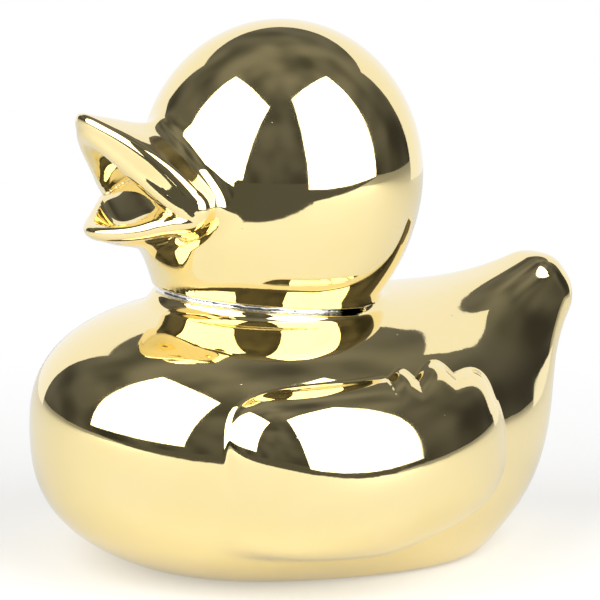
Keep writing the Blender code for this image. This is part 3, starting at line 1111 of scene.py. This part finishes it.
@dataclass(frozen=True)
class Studio:
    """The pale studio: a table, a backdrop, two soft boxes, a dim room and the camera."""

    camera_azimuth: float = 62.0
    camera_elevation: float = 10.0
    camera_distance: float = 600.0
    target_height: float = 47.0
    pixel: float = 0.175
    origin_pixel: tuple[float, float] = (289.0, 553.0)
    frame_pixels: float = 600.0
    lens: float = 100.0
    floor_size: float = 4000.0
    floor_colour: float = 0.66
    floor_glow: float = 0.2
    floor_camera_glow: float = 0.35
    floor_clear: tuple[float, float] = (90.0, 190.0)
    table_front: float = 265.0
    table_edge: float = 4.0
    room_level: float = 0.09
    ceiling_level: float = 0.18
    ceiling_range: tuple[float, float] = (0.3, 1.0)
    room_patches: float = 2.2
    room_patch_range: tuple[float, float] = (0.3, 0.7)
    room_shades: tuple[float, float] = (0.5, 1.6)
    backdrop_level: float = 0.95
    backdrop_radius: float = 520.0
    backdrop_edges: tuple[float, float] = (127.0, 227.0)
    backdrop_height: float = 470.0
    backdrop_steps: int = 24
    boxes: tuple[SoftBox, ...] = (
        SoftBox("left_soft_box", ((-88, 2), (-30, 2), (-13, 52), (-86, 62))),
        SoftBox("right_soft_box", ((22, -5), (81, 0), (88, 62), (15, 58))))

    def toward(self, azimuth: float, elevation: float) -> Vector:
        """Return the direction at an azimuth from the camera and an elevation, in degrees.

        Args:
            azimuth: Degrees round the duck from the camera, against the clock as seen from above.
            elevation: Degrees over the floor.
        Returns:
            The direction, one long.
        """
        turn = math.radians(self.camera_azimuth - 90 + azimuth)
        rise = math.radians(elevation)
        return Vector((math.cos(turn) * math.cos(rise), math.sin(turn) * math.cos(rise),
                       math.sin(rise)))

    def camera(self) -> bpy.types.Object:
        """Place the camera at the viewing angle.

        Returns:
            The camera, made the scene's own.
        """
        away = self.toward(0, self.camera_elevation)
        data = bpy.data.cameras.new("camera")
        made = bpy.data.objects.new("camera", data)
        bpy.context.scene.collection.objects.link(made)
        target = Vector((0, 0, self.target_height))
        made.location = (target + away * self.camera_distance) * MM
        made.rotation_euler = away.to_track_quat("Z", "Y").to_euler()
        data.sensor_fit = "HORIZONTAL"
        data.sensor_width = self.frame_pixels * self.pixel / self.camera_distance * self.lens
        data.lens = self.lens
        drop = self.target_height * math.cos(math.radians(self.camera_elevation)) / self.pixel
        target_row = self.origin_pixel[1] - drop
        data.shift_x = (self.frame_pixels / 2 - self.origin_pixel[0]) / self.frame_pixels
        data.shift_y = (target_row - self.frame_pixels / 2) / self.frame_pixels
        bpy.context.scene.camera = made
        return made

    def stage_piece(self, name: str, places: list, faces: list, material: bpy.types.Material,
                    seen: Seen) -> bpy.types.Object:
        """Make a piece of the studio.

        Args:
            name: The piece's name.
            places: Its vertices in millimetres.
            faces: Its faces.
            material: Its material.
            seen: Which rays see it.
        Returns:
            The object.
        """
        data = bpy.data.meshes.new(name)
        data.from_pydata([tuple(Vector(place) * MM) for place in places], [], faces)
        data.materials.append(material)
        made = bpy.data.objects.new(name, data)
        made.visible_camera = seen is Seen.BY_ALL
        made.visible_shadow = seen is Seen.BY_ALL
        bpy.context.scene.collection.objects.link(made)
        return made

    def soft_boxes(self) -> None:
        """Hang the two soft boxes beside the camera."""
        for box in self.boxes:
            centre = Vector((0, 0, self.target_height))
            places = [centre + self.toward(*corner) * box.distance for corner in box.corners]
            glow = emission_material(box.name, box.level)
            self.stage_piece(box.name, places, [(0, 1, 2, 3)], glow, Seen.NOT_BY_CAMERA)

    def backdrop(self) -> None:
        """Curve the pale backdrop round the back of the duck."""
        start, end = self.backdrop_edges
        places = []
        for number in range(self.backdrop_steps + 1):
            azimuth = start + (end - start) * number / self.backdrop_steps
            way = self.toward(azimuth, 0) * self.backdrop_radius
            places.append((way.x, way.y, 0))
            places.append((way.x, way.y, self.backdrop_height))
        faces = [(2 * n, 2 * n + 2, 2 * n + 3, 2 * n + 1) for n in range(self.backdrop_steps)]
        glow = emission_material("backdrop", self.backdrop_level)
        self.stage_piece("backdrop", places, faces, glow, Seen.NOT_BY_CAMERA)

    def floor(self) -> None:
        """Lay the pale floor: the table, the dim room past its front edge, and white far off."""
        made, kit = new_material("floor")
        matt = kit.add("ShaderNodeBsdfDiffuse")
        kit.feed(matt.inputs["Color"], (*[self.floor_colour] * 3, 1.0))
        seen = kit.seen_by_camera()
        glow = kit.glow(kit.ramp(seen, 0.0, 1.0, self.floor_glow, self.floor_camera_glow))
        table = kit.add("ShaderNodeAddShader")
        kit.feed(table.inputs[0], matt.outputs[0])
        kit.feed(table.inputs[1], glow.outputs[0])
        place = kit.add("ShaderNodeNewGeometry").outputs["Position"]
        ahead = kit.add("ShaderNodeVectorMath", operation="DOT_PRODUCT")
        kit.feed(ahead.inputs[0], place)
        kit.feed(ahead.inputs[1], self.toward(0, 0))
        past = kit.ramp(ahead.outputs["Value"], (self.table_front - self.table_edge) * MM,
                        (self.table_front + self.table_edge) * MM)
        surface = kit.mix_shaders(past, table, kit.glow(self.room_level))
        away = kit.add("ShaderNodeVectorMath", operation="LENGTH")
        kit.feed(away.inputs[0], place)
        near, far = self.floor_clear
        clear = kit.ramp(away.outputs["Value"], near * MM, far * MM)
        whole = kit.mix_shaders(kit.math("MULTIPLY", seen, clear), surface, kit.glow(1.0))
        out = kit.add("ShaderNodeOutputMaterial")
        kit.feed(out.inputs["Surface"], whole.outputs[0])
        half = self.floor_size / 2
        places = [(-half, -half, 0), (half, -half, 0), (half, half, 0), (-half, half, 0)]
        self.stage_piece("floor", places, [(0, 1, 2, 3)], made, Seen.BY_ALL)

    def world(self) -> None:
        """Surround the studio: white for the camera, a dim room for the duck."""
        made = bpy.data.worlds.new("studio")
        bpy.context.scene.world = made
        made.use_nodes = True
        made.node_tree.nodes.clear()
        kit = NodeKit(made.node_tree)
        split = kit.add("ShaderNodeSeparateXYZ")
        kit.feed(split.inputs[0], kit.add("ShaderNodeTexCoord").outputs["Generated"])
        blur = kit.add("ShaderNodeTexNoise")
        kit.feed(blur.inputs["Scale"], self.room_patches)
        kit.feed(blur.inputs["Detail"], 1.0)
        shade = kit.ramp(blur.outputs["Fac"], *self.room_patch_range, *self.room_shades)
        level = kit.ramp(split.outputs["Z"], *self.ceiling_range, self.room_level,
                         self.ceiling_level)
        room = kit.add("ShaderNodeBackground")
        kit.feed(room.inputs["Strength"], kit.math("MULTIPLY", level, shade))
        white = kit.add("ShaderNodeBackground")
        kit.feed(white.inputs["Color"], (1.0, 1.0, 1.0, 1.0))
        whole = kit.mix_shaders(kit.seen_by_camera(), room, white)
        kit.feed(kit.add("ShaderNodeOutputWorld").inputs["Surface"], whole.outputs[0])

    def build(self) -> None:
        """Set up the whole studio."""
        self.camera()
        self.soft_boxes()
        self.backdrop()
        self.floor()
        self.world()
        bpy.context.scene.view_settings.view_transform = "Standard"
        LOG.info("studio: %d soft boxes", len(self.boxes))


def main() -> None:
    """Build the duck and the studio."""
    skin = DuckSkin()
    piece = skin.build()
    skin.dress(piece, GoldPlating())
    LOG.info("duck_skin: %d triangles", len(piece.data.polygons))
    Studio().build()


if __name__ == "__main__":
    main()
